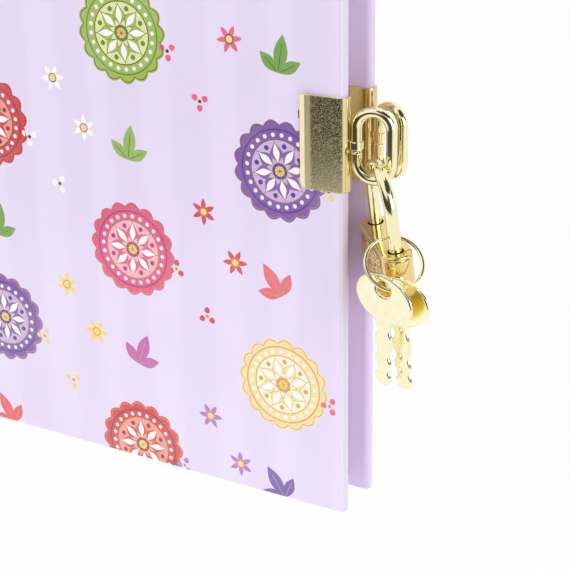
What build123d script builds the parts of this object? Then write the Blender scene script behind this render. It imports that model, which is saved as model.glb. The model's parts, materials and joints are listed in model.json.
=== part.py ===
from build123d import *
import math
import os

# Diary case, in millimetres: +Z up, front cover towards -Y, fore-edge towards +X, tail on Z = 0
case_height = 170.0
case_width = 125.0
board_thick = 2.3
wrap_thick = 0.25
spine_board_thick = 2.0
joint_width = 6.0
groove_depth = 1.0
groove_slope = 1.6
fore_edge_radius = 1.35
tail_edge_radius = 0.4
spine_radius = 0.9
turn_in = 5.0

# Page block
section_count = 6
section_thick = 1.3
flyleaf_thick = 0.2
leaf_gap = 0.05
page_square = 3.0
fore_square = 5.0
gutter_width = 7.2
lining_thick = 0.3
lining_short = 12.0
headband_size = 1.4

# Hasps: a folded sheet clip over each fore-edge, with an eye for its ring
hasp_height = 20.0
hasp_level = 84.7
back_hasp_drop = 1.0
hasp_reach = 10.5
hasp_page_gap = 0.3
hasp_sheet = 0.5
hasp_rise = 0.8
hasp_flange = 2.3
hasp_corner = 1.6
hasp_seat_gap = 0.05
prong_width = 1.6
prong_thick = 0.5
prong_depth = 1.4
prong_spacing = 10.6
eye_wall = 0.45
eye_height = 1.6
eye_inset = 0.8
eye_reach = 3.0

# Oval rings of round wire
ring_wire = 2.2
ring_leg_spacing = 7.3
ring_length = 14.2
ring_play = 0.06
ring_butt_gap = 0.12
ring_butt_below = 1.4
front_ring_turn = 10.0
back_ring_turn = -22.0

# Padlock
shackle_wire = 2.7
shackle_spacing = 14.6
shackle_leg = 8.0
shackle_play = 0.05
shackle_travel = 7.0
captive_hold = 4.0
free_depth = 6.2
lock_height = 13.5
lock_thick = 6.6
lock_edge = 0.5
lock_heading = 47.0
lock_dip = 3.0
lock_lean = -7.8
hang_offset = -2.6
hang_gap = 0.7
panel_depth = 0.25
panel_rim = 1.1
latch_level = 1.7
latch_height = 1.2
latch_width = 1.6
latch_bite = 0.5
latch_play = 0.1
notch_depth = 0.6
notch_run = 3.2
plug_diameter = 4.6
plug_play = 0.05
plug_seat = 5.4
cam_offset = 0.9
cam_diameter = 0.8
cam_start = -45.0
latch_length = 7.4
spring_wire = 0.25
spring_diameter = 1.3
spring_length = 2.6
spring_turns = 3
keyway_width = 1.1
keyway_height = 3.2
keyway_roof = 1.0
plate_thick = 0.8

# Key ring and keys
key_ring_diameter = 11.6
key_ring_wire = 0.8
key_ring_heading = 39.0
key_ring_tilt = 44.0
key_ring_level = 0.6
key_ring_clear = 0.3
key_ring_shift = 0.7
key_thick = 0.8
key_head_width = 16.0
key_head_height = 10.2
key_hole_width = 4.4
key_hole_height = 3.2
key_hole_up = 2.2
key_blade_width = 4.8
key_blade_length = 14.0
key_shoulder = 0.5
key_tip_radius = 1.5
key_notch_depth = 0.7
key_notch_radius = 1.6
left_notches = [2.3, 6.8, 10.6]
right_notches = [1.9, 7.6, 10.7]
key_places = [(-28.0, 20.0, 0.0), (0.0, 16.0, 6.0)]

# Worked-out places
cover_thick = 2 * wrap_thick + board_thick
block_depth = section_count * section_thick + 2 * flyleaf_thick + (section_count + 3) * leaf_gap
case_depth = block_depth + 2 * cover_thick
front_y = -case_depth / 2
fore_x = case_width / 2
spine_x = -case_width / 2
crease_x = spine_x + wrap_thick + spine_board_thick
board_x = crease_x + joint_width
block_x = crease_x + lining_thick
gutter_x = block_x + gutter_width
page_x = fore_x - fore_square
inner_y = front_y + cover_thick
lock_radius = lock_thick / 2
shackle_radius = shackle_wire / 2
ring_radius = ring_wire / 2
free_x = -shackle_spacing / 2
captive_x = shackle_spacing / 2
captive_depth = shackle_travel + captive_hold
latch_travel = -2 * cam_offset * math.sin(math.radians(cam_start))

os.makedirs("parts", exist_ok=True)


def save(node, shape):
    export_step(shape, f"parts/{node}.step")


def block(x0, x1, y0, y1, z0, z1):
    """A box given by its limits on each axis."""
    return Pos((x0 + x1) / 2, (y0 + y1) / 2, (z0 + z1) / 2) * Box(x1 - x0, y1 - y0, z1 - z0)


def to_back(shape):
    """The back cover's twin of a front piece."""
    return mirror(shape, about=Plane.XZ)


# Case boards and covering paper
def slab(x0, x1, y0, y1, z0, z1, radius):
    """A flat board with its two fore-edge corners rounded."""
    outline = Pos((x0 + x1) / 2, (y0 + y1) / 2) * Rectangle(x1 - x0, y1 - y0)
    corners = outline.vertices().sort_by(Axis.X)[-2:]
    return Pos(0, 0, z0) * extrude(fillet(corners, radius), z1 - z0)


def cover_board():
    return slab(board_x, fore_x - wrap_thick, front_y + wrap_thick, inner_y - wrap_thick,
                wrap_thick, case_height - wrap_thick, fore_edge_radius - wrap_thick)


def pastedown():
    return block(board_x, fore_x - turn_in, inner_y - wrap_thick, inner_y, turn_in, case_height - turn_in)


def joint_strip():
    """The covering paper between spine and board, pressed into a shallow groove."""
    floor_y = front_y + groove_depth
    outer = [(crease_x, front_y), (crease_x + groove_slope, floor_y),
             (board_x - groove_slope, floor_y), (board_x, front_y)]
    inner = [(x, y + wrap_thick) for x, y in reversed(outer)]
    return extrude(make_face(Polyline(*outer, *inner, close=True)), case_height)


def cover_wrap():
    skin = slab(board_x, fore_x, front_y, inner_y, 0, case_height, fore_edge_radius)
    ends = skin.faces().sort_by(Axis.Z)
    rims = ends[0].edges() + ends[-1].edges()
    skin = fillet([e for e in rims if e.center().X > board_x + tail_edge_radius], tail_edge_radius)
    return skin - cover_board() - pastedown() + joint_strip()


def prong_pair(level, clearance):
    """Two short prongs that the hasp drives through the paper into the board."""
    left = fore_x - hasp_reach
    half_width = prong_width / 2 + clearance
    prong = block(left - clearance, left + prong_thick + clearance, front_y - hasp_seat_gap,
                  front_y + prong_depth + clearance, -half_width, half_width)
    return [Pos(0, 0, level + side * prong_spacing / 2) * prong for side in (-1, 1)]


def cover(level):
    """Board, covering paper, pastedown and hasp of one cover, slotted for the hasp's prongs."""
    slots = prong_pair(level, hasp_seat_gap)
    return cover_board() - slots, cover_wrap() - slots, pastedown(), hasp(level)


# Hasp: flange, raised panel, bend round the fore-edge, inner leaf and the eye of the ring
def hasp(level):
    left = fore_x - hasp_reach
    bend_x = fore_x - cover_thick / 2
    bend_y = front_y + cover_thick / 2
    bend_in = cover_thick / 2 + hasp_seat_gap
    bend_out = bend_in + hasp_sheet
    seat_y = bend_y - bend_in
    ridge_y = front_y - hasp_rise
    panel = make_face(Polyline((left, front_y - hasp_seat_gap), (left + hasp_flange, ridge_y - hasp_sheet),
                               (bend_x, seat_y - hasp_sheet), (bend_x, seat_y),
                               (left + hasp_flange, ridge_y), (left + hasp_sheet, front_y - hasp_seat_gap),
                               close=True))
    bend = Pos(bend_x, bend_y) * (Circle(bend_out) - Circle(bend_in))
    bend -= Pos(bend_x - bend_out, bend_y) * Rectangle(2 * bend_out, 4 * bend_out)
    leaf_end = page_x + hasp_page_gap
    leaf_y = bend_y + bend_in + hasp_sheet / 2
    leaf = Pos((leaf_end + bend_x) / 2, leaf_y) * Rectangle(bend_x - leaf_end, hasp_sheet)
    strip = Pos(0, 0, level - hasp_height / 2) * extrude(panel + bend + leaf, hasp_height)
    outline = fillet(Rectangle(2 * hasp_reach, hasp_height).vertices(), hasp_corner)
    trim = Pos(left + hasp_reach, 0, level) * extrude(Plane.XZ * outline, 2 * case_depth, both=True)
    keeper = Pos(*ring_axis(), level) * Cylinder(ring_radius + ring_play + eye_wall, eye_height)
    core = Pos(bend_x, bend_y, level) * Cylinder((bend_in + bend_out) / 2, eye_height)
    bore = Pos(*ring_axis(), level) * Cylinder(ring_radius + ring_play, 2 * eye_height)
    return (strip & trim) + (keeper - core) - bore + prong_pair(level, 0)


def ring_axis():
    """Where a front ring's wire passes through the eye of its hasp."""
    return fore_x - cover_thick / 2 + eye_reach, front_y + cover_thick / 2 + eye_inset


def oval_ring(turn, level):
    """A wire bent to an oval, its two ends meeting on the leg inside the eye."""
    end_radius = ring_leg_spacing / 2
    run = ring_length / 2 - end_radius
    far = ring_leg_spacing
    low = -ring_butt_below
    path = Wire([Line((0, 0, low - ring_butt_gap), (0, 0, -run)),
                 ThreePointArc((0, 0, -run), (end_radius, 0, -run - end_radius), (far, 0, -run)),
                 Line((far, 0, -run), (far, 0, run)),
                 ThreePointArc((far, 0, run), (end_radius, 0, run + end_radius), (0, 0, run)),
                 Line((0, 0, run), (0, 0, low))])
    link = sweep(Plane(path @ 0, z_dir=path % 0) * Circle(ring_radius), path)
    return Pos(*ring_axis(), level) * Rot(0, 0, turn) * link


# Padlock frame: x along the legs' row, z up the legs, origin on top of the lock between the legs
def lock_plane():
    heading = math.radians(lock_heading)
    dip = math.radians(lock_dip)
    lean = math.radians(lock_lean)
    row = Vector(math.cos(heading) * math.cos(dip), -math.sin(heading) * math.cos(dip), -math.sin(dip))
    level_up = (Vector(0, 0, 1) - row * row.Z).normalized()
    side = level_up.cross(row)
    up = level_up * math.cos(lean) + side * math.sin(lean)
    turn = math.radians(front_ring_turn)
    axis_x, axis_y = ring_axis()
    arm = ring_leg_spacing / 2
    over = hasp_level - ring_length / 2 + ring_radius + shackle_radius + hang_gap
    hang = Vector(axis_x + arm * math.cos(turn), axis_y + arm * math.sin(turn), over)
    bow_rise = math.sqrt((shackle_spacing / 2) ** 2 - hang_offset ** 2)
    origin = hang - row * hang_offset - up * (shackle_leg + bow_rise)
    return Plane(origin, x_dir=row, z_dir=up)


lock = lock_plane()


def shackle():
    """A bent round bar: the free leg is notched for the latch, the captive leg is longer."""
    path = Wire([Line((free_x, 0, -free_depth), (free_x, 0, shackle_leg)),
                 ThreePointArc((free_x, 0, shackle_leg), (0, 0, shackle_leg + captive_x),
                               (captive_x, 0, shackle_leg)),
                 Line((captive_x, 0, shackle_leg), (captive_x, 0, -captive_depth))])
    bar = sweep(Plane(path @ 0, z_dir=path % 0) * Circle(shackle_radius), path)
    notch_face = free_x + shackle_radius - notch_depth
    notch_top = -latch_level + latch_play
    notch_low = -latch_level - latch_height - notch_run
    notch = block(notch_face, notch_face + shackle_wire, -shackle_wire, shackle_wire, notch_low, notch_top)
    return bar - notch


def stadium(half_row, radius, z0, z1):
    return Pos(0, 0, z0) * extrude(SlotCenterToCenter(2 * half_row, 2 * radius), z1 - z0)


latch_nose = free_x + shackle_radius - latch_bite
latch_back = latch_nose + latch_length
latch_floor = -latch_level - latch_height


def latch_room():
    """The channel that the latch and its spring slide in, open to the free leg's bore."""
    half_width = latch_width / 2 + latch_play
    return block(free_x, latch_back + spring_length, -half_width, half_width,
                 latch_floor - latch_play, -latch_level + latch_play)


def lock_case():
    body = stadium(captive_x, lock_radius, -lock_height + plate_thick, 0)
    rim = body.faces().sort_by(Axis.Z)[-1].edges()
    body = fillet(rim, lock_edge)
    panel_height = lock_height - plate_thick - 2 * panel_rim
    recess = Box(shackle_spacing, 2 * panel_depth, panel_height)
    for side in (-1, 1):
        body -= Pos(0, side * lock_radius, -panel_rim - panel_height / 2) * recess
    bore = shackle_radius + shackle_play
    body -= Pos(free_x, 0, -free_depth / 2) * Cylinder(bore, free_depth + 2 * shackle_play)
    body -= Pos(captive_x, 0, -captive_depth / 2) * Cylinder(bore, captive_depth + 2 * shackle_play)
    body -= Pos(0, 0, -plug_seat - lock_height / 2) * Cylinder(plug_diameter / 2 + plug_play, lock_height)
    cam_sweep = cam_offset + cam_diameter / 2 + latch_play
    body -= Pos(0, 0, latch_floor) * Cylinder(cam_sweep, 2 * (plug_seat + latch_floor) + latch_play)
    return body - latch_room()


def lock_plate():
    """The bottom plate, staked on, with the hole that the plug's end shows through."""
    plate = stadium(captive_x, lock_radius, -lock_height, -lock_height + plate_thick)
    plate = fillet(plate.faces().sort_by(Axis.Z)[0].edges(), lock_edge)
    return plate - Pos(0, 0, -lock_height) * Cylinder(plug_diameter / 2 + plug_play, 4 * plate_thick)


def cam_spot():
    angle = math.radians(cam_start)
    return cam_offset * math.sin(angle), -cam_offset * math.cos(angle)


def lock_plug():
    """The turning barrel: keyway from below, cam pin on top."""
    low = -lock_height
    high = -plug_seat - plug_play
    barrel = Pos(0, 0, (low + high) / 2) * Cylinder(plug_diameter / 2, high - low)
    barrel -= block(-keyway_height / 2, keyway_height / 2, -keyway_width / 2, keyway_width / 2,
                    low, high - keyway_roof)
    pin_top = latch_floor + latch_height / 2
    return barrel + Pos(*cam_spot(), (high + pin_top) / 2) * Cylinder(cam_diameter / 2, pin_top - high)


def latch():
    """A sliding bolt with a cross slot for the cam pin and a rounded nose."""
    bar = block(latch_nose, latch_back, -latch_width / 2, latch_width / 2, latch_floor, -latch_level)
    slot_half = cam_diameter / 2 + latch_play
    pin_x, _ = cam_spot()
    slot_top = latch_floor + latch_height / 2 + latch_play
    slot = block(pin_x - slot_half, pin_x + slot_half, -latch_width, latch_width,
                 latch_floor - latch_play, slot_top)
    return bar - slot


def latch_spring():
    """A small compression spring between the latch and the end of its channel."""
    pitch = (spring_length - latch_travel - spring_wire) / spring_turns
    coil = Helix(pitch, pitch * spring_turns, (spring_diameter - spring_wire) / 2)
    wire = sweep(Plane(coil @ 0, z_dir=coil % 0) * Circle(spring_wire / 2), coil)
    start = latch_back + latch_travel + spring_wire / 2
    return Pos(start, 0, -latch_level - latch_height / 2) * Rot(0, 90, 0) * wire


# Key ring, round the captive leg, and the keys on it
def key_ring_plane():
    heading = math.radians(key_ring_heading)
    tilt = math.radians(key_ring_tilt)
    across = Vector(math.cos(heading), math.sin(heading), 0)
    ahead = Vector(math.sin(heading), -math.cos(heading), 0)
    normal = ahead * math.cos(tilt) + Vector(0, 0, math.sin(tilt))
    ring_up = Vector(0, 0, math.cos(tilt)) - ahead * math.sin(tilt)
    leg = lock.from_local_coords(Vector(captive_x, 0, key_ring_level))
    leg_half = shackle_radius / abs(lock.z_dir.dot(normal))
    top = leg_half + key_ring_wire / 2 + key_ring_clear
    centre = leg - ring_up * (key_ring_diameter / 2 - top) - across * key_ring_shift
    return Plane(centre, x_dir=across, z_dir=normal)


def key_ring():
    return key_ring_plane() * Torus(key_ring_diameter / 2, key_ring_wire / 2)


def key_plane(place, heading):
    """A key's frame: origin in its hole on the ring's wire, x across the head, y up."""
    around = math.radians(place)
    arm = key_ring_diameter / 2
    spot = key_ring_plane().from_local_coords(Vector(arm * math.sin(around), -arm * math.cos(around), 0))
    turn = math.radians(heading)
    across = Vector(math.cos(turn), -math.sin(turn), 0)
    face = Vector(-math.sin(turn), -math.cos(turn), 0)
    return Plane(spot, x_dir=across, z_dir=face)


def key():
    """A flat stamped key: oval head with a hole, and a blade notched on both edges."""
    head = Pos(0, -key_hole_up) * Ellipse(key_head_width / 2, key_head_height / 2)
    top = -key_hole_up - key_head_height / 2 + key_shoulder
    tip = top - key_blade_length
    half = key_blade_width / 2
    blade = Pos(0, (top + tip) / 2) * Rectangle(key_blade_width, key_blade_length)
    blade = fillet(blade.vertices().sort_by(Axis.Y)[:2], key_tip_radius)
    profile = head + blade - SlotOverall(key_hole_width, key_hole_height)
    notch_x = half - key_notch_depth + key_notch_radius
    for side, places in ((-1, left_notches), (1, right_notches)):
        for place in places:
            profile -= Pos(side * notch_x, top - place) * Circle(key_notch_radius)
    return Pos(0, 0, -key_thick / 2) * extrude(profile, key_thick)


# Case
def spine_slab(inset):
    """The spine with its two outer edges rounded, drawn in by a skin's thickness."""
    outer_y = front_y + inset
    slab_box = block(spine_x + inset, crease_x, outer_y, -outer_y, inset, case_height - inset)
    outer_edges = slab_box.edges().filter_by(Axis.Z).sort_by(Axis.X)[:2]
    return fillet(outer_edges, spine_radius - inset)


save("spine_board", spine_slab(wrap_thick))
save("spine_wrap", spine_slab(0) - spine_slab(wrap_thick))

back_level = hasp_level - back_hasp_drop
cover_pieces = ("board", "wrap", "pastedown", "hasp")
for name, front, back in zip(cover_pieces, cover(hasp_level), cover(back_level)):
    save(f"front_{name}", front)
    save(f"back_{name}", to_back(back))

# Page block
low_z = page_square
high_z = case_height - page_square
save("sewn_backs", block(block_x, gutter_x, inner_y + leaf_gap, -inner_y - leaf_gap, low_z, high_z))
save("spine_lining", block(crease_x, block_x, inner_y + leaf_gap, -inner_y - leaf_gap,
                           low_z + lining_short, high_z - lining_short))
band = Rot(90, 0, 0) * Cylinder(headband_size / 2, block_depth - 2 * leaf_gap)
band = Pos(block_x + headband_size / 2, 0) * band
upper_half = Pos(block_x, 0, headband_size) * Box(4 * headband_size, 2 * case_depth, 2 * headband_size)
half_band = band & upper_half
save("headband", Pos(0, 0, high_z) * half_band)
save("tailband", Pos(0, 0, low_z) * mirror(half_band, about=Plane.XY))

leaf_y = inner_y + leaf_gap
save("front_flyleaf", block(gutter_x, page_x, leaf_y, leaf_y + flyleaf_thick, low_z, high_z))
leaf_y += flyleaf_thick + leaf_gap
for number in range(1, section_count + 1):
    save(f"section_{number}", block(gutter_x, page_x, leaf_y, leaf_y + section_thick, low_z, high_z))
    leaf_y += section_thick + leaf_gap
save("back_flyleaf", block(gutter_x, page_x, leaf_y, leaf_y + flyleaf_thick, low_z, high_z))

# Rings, padlock and keys
save("front_ring", oval_ring(front_ring_turn, hasp_level))
save("back_ring", to_back(oval_ring(-back_ring_turn, back_level)))
save("shackle", lock * shackle())
save("lock_case", lock * lock_case())
save("lock_plate", lock * lock_plate())
save("lock_plug", lock * lock_plug())
save("latch", lock * latch())
save("latch_spring", lock * latch_spring())
save("key_ring", key_ring())
for number, (place, heading, swing) in enumerate(key_places, start=1):
    save(f"key_{number}", key_plane(place, heading) * Rot(0, 0, swing) * key())
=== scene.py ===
# %% [markdown]
# A small diary with a padlock, dressed for its picture.
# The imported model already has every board, page, ring and key at its real size, so this lesson never moves
# or resizes anything. It gives each piece its finish, and it makes the bright metal again as finer
# surfaces, because polished metal shows every facet. Lengths are millimetres until the last moment.

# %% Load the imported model
import json
import math

import bmesh
import bpy
import numpy as np
from mathutils import Matrix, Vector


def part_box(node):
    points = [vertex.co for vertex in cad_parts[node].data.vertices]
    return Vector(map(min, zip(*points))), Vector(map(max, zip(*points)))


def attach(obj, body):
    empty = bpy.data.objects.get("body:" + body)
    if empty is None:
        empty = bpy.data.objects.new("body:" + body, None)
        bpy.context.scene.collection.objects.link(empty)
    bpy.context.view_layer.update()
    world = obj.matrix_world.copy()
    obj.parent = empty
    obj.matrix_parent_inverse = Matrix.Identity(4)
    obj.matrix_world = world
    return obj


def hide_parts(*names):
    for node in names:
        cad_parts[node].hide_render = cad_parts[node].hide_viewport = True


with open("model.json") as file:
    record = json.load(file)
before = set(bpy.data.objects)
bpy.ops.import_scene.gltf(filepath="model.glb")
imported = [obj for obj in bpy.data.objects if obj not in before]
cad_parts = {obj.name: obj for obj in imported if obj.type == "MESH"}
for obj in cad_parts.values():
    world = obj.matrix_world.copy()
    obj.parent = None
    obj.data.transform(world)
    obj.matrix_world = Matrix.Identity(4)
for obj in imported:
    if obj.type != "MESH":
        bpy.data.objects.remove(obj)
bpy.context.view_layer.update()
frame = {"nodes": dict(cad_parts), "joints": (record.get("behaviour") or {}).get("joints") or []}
MM = 0.001
joints = {joint["name"]: joint for joint in frame["joints"]}


def hinge_point(name):
    """Where a joint sits, in millimetres."""
    return np.array(joints[name]["pos_m"]) / MM


def hinge_axis(name):
    """The unit vector that a joint turns about or slides along."""
    return np.array(joints[name]["axis"]) / np.linalg.norm(joints[name]["axis"])


# %% [markdown]
# The camera stands in front of the fore-edge, a little above the diary, and looks down across the cover.
# Its place was found by matching the cover's edges and corners, so the lens is long and the frame is tight.
# A constraint could aim it at a point, but it would lose the slight roll. A camera looks along its own -Z
# axis, so its matrix is built from three unit vectors instead: side, top and back.

# %% Camera
camera_place = (214.877, -293.325, 194.877)
camera_yaw = math.radians(30.197)
camera_pitch = math.radians(23.373)
camera_roll = math.radians(-0.876)
camera_lens = 108.0
camera_sensor = 36.0
up = np.array([0.0, 0.0, 1.0])


def camera_axes(yaw, pitch, roll):
    """Side, top and back vectors: level heading first, then tipped down by pitch, then rolled."""
    ahead = np.array([-math.sin(yaw), math.cos(yaw), 0.0])
    level = np.array([math.cos(yaw), math.sin(yaw), 0.0])
    look = ahead * math.cos(pitch) - up * math.sin(pitch)
    top = up * math.cos(pitch) + ahead * math.sin(pitch)
    side = level * math.cos(roll) + top * math.sin(roll)
    return side, top * math.cos(roll) - level * math.sin(roll), -look


def standing(axes, place):
    """The matrix of an object with these side, top and back vectors, at a place in millimetres."""
    matrix = Matrix.Identity(4)
    for column, axis in enumerate(axes):
        for row in range(3):
            matrix[row][column] = axis[row]
    matrix.translation = [value * MM for value in place]
    return matrix


camera = bpy.data.objects.new("camera", bpy.data.cameras.new("camera"))
bpy.context.collection.objects.link(camera)
camera.data.lens = camera_lens
camera.data.sensor_width = camera_sensor
camera.matrix_world = standing(camera_axes(camera_yaw, camera_pitch, camera_roll), camera_place)
bpy.context.scene.camera = camera
bpy.context.scene.view_settings.view_transform = "Standard"
print("camera at", camera_place)

# %% [markdown]
# Finishes are worked out by shader nodes. Wiring hundreds of nodes by hand is hard to read, so one small
# class wraps a socket: adding, subtracting or multiplying two of them adds the Math node that does it.
# Any other node comes from the same class by its type, its settings and what goes into its sockets.

# %% A socket that does arithmetic
class Field:
    """A value, colour or vector that varies over a surface, held as an output socket."""

    def __init__(self, tree, socket=None):
        self.tree = tree
        self.socket = socket

    def node(self, kind, settings=None, values=None, output=0):
        """Adds a node: settings first, then values or links for its sockets, and wraps one output."""
        made = self.tree.nodes.new(kind)
        for name, value in (settings or {}).items():
            if name == "stops":
                for stop, (place, colour) in zip(ramp_stops(made, len(value)), value):
                    stop.position = place
                    stop.color = paint(colour)
            elif name == "fade":
                made.color_ramp.interpolation = value
            else:
                setattr(made, name, value)
        for key, value in (values or {}).items():
            if isinstance(value, Field):
                self.tree.links.new(value.socket, made.inputs[key])
            else:
                made.inputs[key].default_value = value
        return Field(self.tree, made.outputs[output])

    def math(self, operation, *others):
        """A Math node on this value and up to two others."""
        return self.node("ShaderNodeMath", {"operation": operation}, dict(enumerate((self, *others))))

    def __add__(self, other):
        return self.math("ADD", other)

    def __sub__(self, other):
        return self.math("SUBTRACT", other)

    def __rsub__(self, other):
        return self.node("ShaderNodeMath", {"operation": "SUBTRACT"}, {0: other, 1: self})

    def __mul__(self, other):
        return self.math("MULTIPLY", other)

    def __truediv__(self, other):
        return self.math("DIVIDE", other)

    def __rtruediv__(self, other):
        return self.node("ShaderNodeMath", {"operation": "DIVIDE"}, {0: other, 1: self})

    def __abs__(self):
        return self.math("ABSOLUTE")

    __radd__ = __add__
    __rmul__ = __mul__

    def fade(self, low, high):
        """0 below low, 1 above high, and a smooth step between; low may be the greater one."""
        return self.node("ShaderNodeMapRange", {"interpolation_type": "SMOOTHSTEP"},
                         {"Value": self, "From Min": low, "From Max": high})

    def below(self, edge, soft=0.05):
        """1 where the value is less than the edge, with a soft border."""
        return (self - edge).fade(soft, -soft)

    def noise(self, scale, detail=3.0, rough=0.55):
        """Cloudy noise on this vector, about 0.5 on average."""
        return self.node("ShaderNodeTexNoise", {}, {"Vector": self, "Scale": scale, "Detail": detail,
                                                    "Roughness": rough})

    def mix(self, first, second):
        """first where this mask is 0, second where it is 1; colours."""
        return self.node("ShaderNodeMix", {"data_type": "RGBA"}, {0: self, 6: first, 7: second}, output=2)

    def dot(self, vector):
        """How far this vector reaches along a fixed one."""
        return self.node("ShaderNodeVectorMath", {"operation": "DOT_PRODUCT"},
                         {0: self, 1: tuple(vector)}, "Value")

    def bump(self, strength, depth):
        """A normal bent by this height; depth is the height's size in millimetres."""
        return self.node("ShaderNodeBump", {},
                         {"Strength": strength, "Distance": depth * MM, "Height": self})


def ramp_stops(made, count):
    """The colour ramp's stops, as many as asked for."""
    while len(made.color_ramp.elements) < count:
        made.color_ramp.elements.new(1.0)
    return list(made.color_ramp.elements)


def any_of(masks):
    """The greatest of several masks: 1 wherever one of them is."""
    total = masks[0]
    for mask in masks[1:]:
        total = total.math("MAXIMUM", mask)
    return total


def length(first, second):
    """How long two sides at a right angle reach: the root of the sum of their squares."""
    return (first * first + second * second).math("SQRT")


print("shader arithmetic ready")

# %% [markdown]
# A finish is one material with the Principled shader. Pictures could be wrapped on the pieces, but here the
# patterns are laid out in millimetres on the object itself, because a diary's print and a padlock's dimples
# have a real size. Colours are written as on a paint chart, from 0 to 255, and turned into light.

# %% A finish
def ink(red, green, blue):
    """A colour as a paint chart writes it (0 to 255), turned into light: the sRGB curve."""
    def light(value):
        share = value / 255
        return share / 12.92 if share <= 0.04045 else ((share + 0.055) / 1.055) ** 2.4
    return light(red), light(green), light(blue)


def paint(colour):
    """A colour as sockets take it, fully opaque."""
    return (*colour, 1.0)


class Finish:
    """A material with its Principled shader, and the surface's place in millimetres."""

    def __init__(self, name, **sockets):
        self.material = bpy.data.materials.new(name)
        self.material.use_nodes = True
        self.tree = self.material.node_tree
        self.shader = self.tree.nodes["Principled BSDF"]
        place = Field(self.tree).node("ShaderNodeTexCoord", output="Object")
        self.place = place.node("ShaderNodeVectorMath", {"operation": "SCALE"}, {0: place, "Scale": 1 / MM})
        self.set(**sockets)

    def axes(self):
        """x, y and z of the surface, in millimetres."""
        parts = self.place.node("ShaderNodeSeparateXYZ", {}, {0: self.place})
        return [Field(self.tree, output) for output in parts.socket.node.outputs]

    def set(self, **sockets):
        """Sets or links the shader's sockets; a socket's name is written with _ for a space."""
        for name, value in sockets.items():
            target = self.shader.inputs[name.replace("_", " ").title()]
            if isinstance(value, Field):
                self.tree.links.new(value.socket, target)
            else:
                target.default_value = value

    def fed(self, socket):
        """What already feeds one of the shader's sockets."""
        return Field(self.tree, self.shader.inputs[socket].links[0].from_socket)


def dress(finish, *nodes):
    """Gives CAD nodes a finish, in place of the plain one they came with."""
    for node in nodes:
        slots = frame["nodes"][node].data.materials
        slots.clear()
        slots.append(finish.material)


print("finishes ready")

# %% [markdown]
# The covers are boards wrapped in printed paper with a smooth film on it. The paper is lavender, with tonal
# stripes that run up and down, and a print in bright colours with fine gold foil lines.
# The print is a half-drop repeat of round rosettes with sprigs, stars and dots in the gaps: every second
# column is moved down by half a step. A picture could hold it, but drawing it with numbers keeps it sharp
# at any distance, and lets the colours change from one rosette to the next: neighbours never share one.

# %% Print on the covering paper: palette
white_ink = ink(250, 247, 252)
star_gold = ink(246, 214, 120)
foil_gold = ink(214, 172, 92)
rosette_inks = [ink(214, 52, 62), ink(228, 74, 128), ink(160, 188, 74), ink(246, 222, 158),
                ink(126, 78, 168)]
rosette_lights = [ink(246, 150, 140), ink(250, 176, 200), ink(222, 232, 160), ink(252, 244, 214),
                  ink(206, 176, 230)]
rosette_deeps = [ink(146, 22, 48), ink(166, 28, 96), ink(104, 132, 40), ink(222, 160, 92),
                 ink(80, 40, 122)]
sprig_inks = [ink(118, 166, 74), ink(196, 98, 176), ink(150, 186, 92), ink(120, 92, 180),
              ink(232, 96, 110)]
star_inks = [ink(238, 92, 134), star_gold, ink(252, 250, 252), ink(178, 120, 206), ink(220, 60, 72)]
ink_count = float(len(rosette_inks))


def pick(share, colours):
    """One of the colours, by a number from 0 to 1: each has an equal share of a ramp without fading."""
    stops = [(index / len(colours), colour) for index, colour in enumerate(colours)]
    return share.node("ShaderNodeValToRGB", {"fade": "CONSTANT", "stops": stops}, {"Fac": share})


print("palette of", len(rosette_inks), "inks")

# %% Print on the covering paper: repeat
column_step = 38.0
row_step = 49.0
print_shift = (9.5, 21.0)
motif_salt = 3.7
tau = 2 * math.pi


def repeat(x, z, along, drop):
    """Place inside the half-drop repeat's own cell: offsets from its middle, a colour number and a turn.
    The turn is a random number of the cell, with the motif's own offset as salt."""
    across = (x + along) / column_step
    column = across.math("FLOOR")
    lower = column.math("FLOORED_MODULO", 2.0) * 0.5
    rise = (z + drop) / row_step + lower
    row = rise.math("FLOOR")
    cell = x.node("ShaderNodeCombineXYZ", {}, {0: column, 1: row, 2: along + motif_salt * drop})
    hashed = x.node("ShaderNodeTexWhiteNoise", {"noise_dimensions": "3D"}, {"Vector": cell}, "Color")
    shares = hashed.node("ShaderNodeSeparateXYZ", {}, {0: hashed})
    turn = Field(x.tree, shares.socket.node.outputs[1])
    share = ((column * 2.0 + row).math("FLOORED_MODULO", ink_count) + 0.5) / ink_count
    return (across - column - 0.5) * column_step, (rise - row - 0.5) * row_step, share, turn


def polar(u, v, turn):
    """Distance from the middle, and the angle round it."""
    return length(u, v), v.math("ARCTAN2", u) + turn


def spokes(angle, count):
    """Angle from the nearest of evenly spaced spokes, counted both ways from 0."""
    return abs((angle * (count / tau)).math("FRACT") - 0.5) * (tau / count)


print("repeat of", column_step, "by", row_step, "mm")

# %% [markdown]
# A rosette is drawn in polar form. Its scalloped edge is a circle whose radius rises and falls with the
# angle. Rings are bands of distance, beads are small discs on a spoke, and a petal is the place where the
# distance from a spoke is less than a sine arch along it. Each mask mixes its ink over the ones before.
# Every motif also gives back the mask of its foil lines, because foil is metal and the inks aren't.

# %% Print on the covering paper: rosettes
rosette_size = 11.2
rosette_petals = 8
beads_per_petal = 3
rim_radius = 0.90 * rosette_size
scallop_height = 0.09 * rosette_size
line_radius = 0.80 * rosette_size
line_half = 0.16
bead_circle = 0.70 * rosette_size
bead_radius = 0.46
field_radius = 0.60 * rosette_size
petal_start = 0.13 * rosette_size
petal_length = 0.45 * rosette_size
petal_half = 1.55
petal_core = 0.75
drop_circle = 0.50 * rosette_size
drop_radius = 0.56
button_radius = 0.16 * rosette_size
button_top = 0.10 * rosette_size
scallop_foil = (0.45, 0.10)
field_foil = (0.61 * rosette_size, 0.11)
petal_foil = 0.07


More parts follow.
